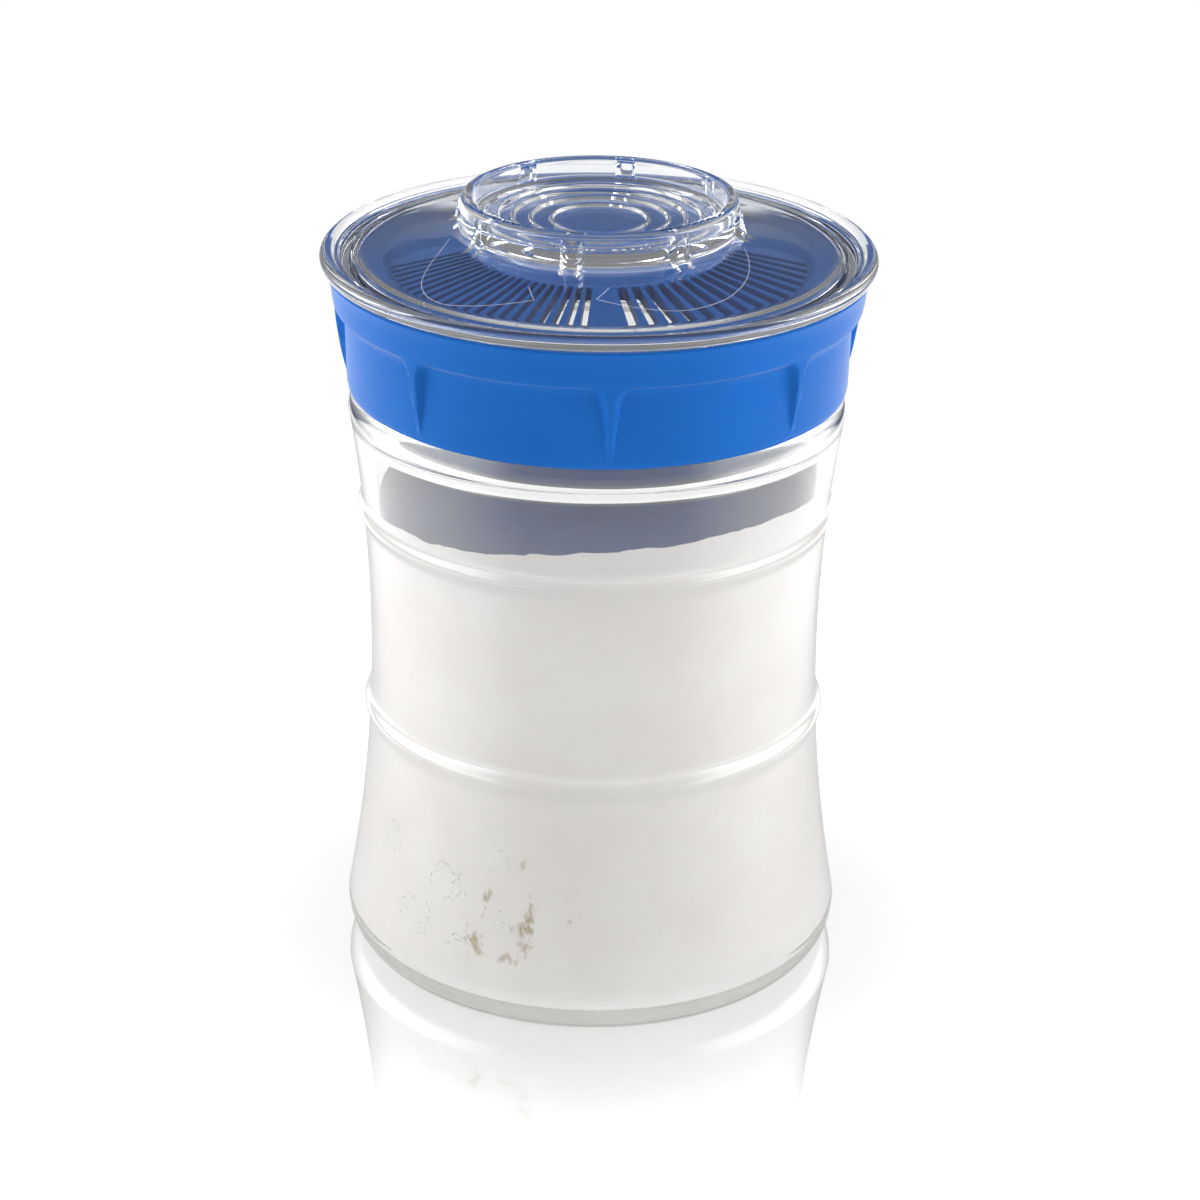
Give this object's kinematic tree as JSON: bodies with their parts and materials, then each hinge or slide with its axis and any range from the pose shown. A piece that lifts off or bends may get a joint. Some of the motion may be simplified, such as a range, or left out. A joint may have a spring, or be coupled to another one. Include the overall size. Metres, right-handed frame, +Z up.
{
  "type": "kefir jar",
  "caption": "Waisted glass fermenting jar with a screw-on strainer lid and a clear screw-on upper lid with a grip ring, shown filled with kefir.",
  "frame": {"origin": "centre of the standing face at the jar's foot", "axes": "+Z up along the jar's axis, -Y towards the front, where the web between the two slot fields lies"},
  "size_m": [0.1138, 0.1138, 0.1658],
  "materials": {
    "glass": "clear pressed glass",
    "kefir": "opaque cultured milk, satin",
    "kefir_grain": "moist, knobbly",
    "silicone": "translucent silicone",
    "blue_plastic": "satin moulded plastic",
    "clear_plastic": "clear moulded plastic"
  },
  "bodies": {
    "jar": {"glass_jar": "glass", "kefir": "kefir", "kefir_grain_1": "kefir_grain", "kefir_grain_2": "kefir_grain", "kefir_grain_3": "kefir_grain", "kefir_grain_4": "kefir_grain", "kefir_grain_5": "kefir_grain", "kefir_grain_6": "kefir_grain", "kefir_grain_7": "kefir_grain", "kefir_grain_8": "kefir_grain"},
    "jar_seal": {"jar_seal": "silicone"},
    "strainer_lid": {"strainer_lid": "blue_plastic"},
    "upper_seal": {"upper_seal": "silicone"},
    "upper_lid": {"upper_lid": "clear_plastic"}
  },
  "joints": [
    {"name": "lid_rise", "type": "slide", "parent": "jar", "child": "jar_seal", "axis": [0, 0, 1], "range_m": [0, 0.024]},
    {"name": "lid_turn", "type": "hinge", "parent": "jar_seal", "child": "strainer_lid", "pos_m": [0, 0, 0.1473], "axis": [0, 0, 1], "range_deg": [0, 540]},
    {"name": "upper_lid_rise", "type": "slide", "parent": "strainer_lid", "child": "upper_seal", "axis": [0, 0, 1], "range_m": [0, 0.00675]},
    {"name": "upper_lid_turn", "type": "hinge", "parent": "upper_seal", "child": "upper_lid", "pos_m": [0, 0, 0.1459], "axis": [0, 0, 1], "range_deg": [0, 270]}
  ],
  "couplings": [
    {"joint": "lid_rise", "follows": "lid_turn", "m_per_rad": 0.0025464},
    {"joint": "upper_lid_rise", "follows": "upper_lid_turn", "m_per_rad": 0.0014323}
  ]
}
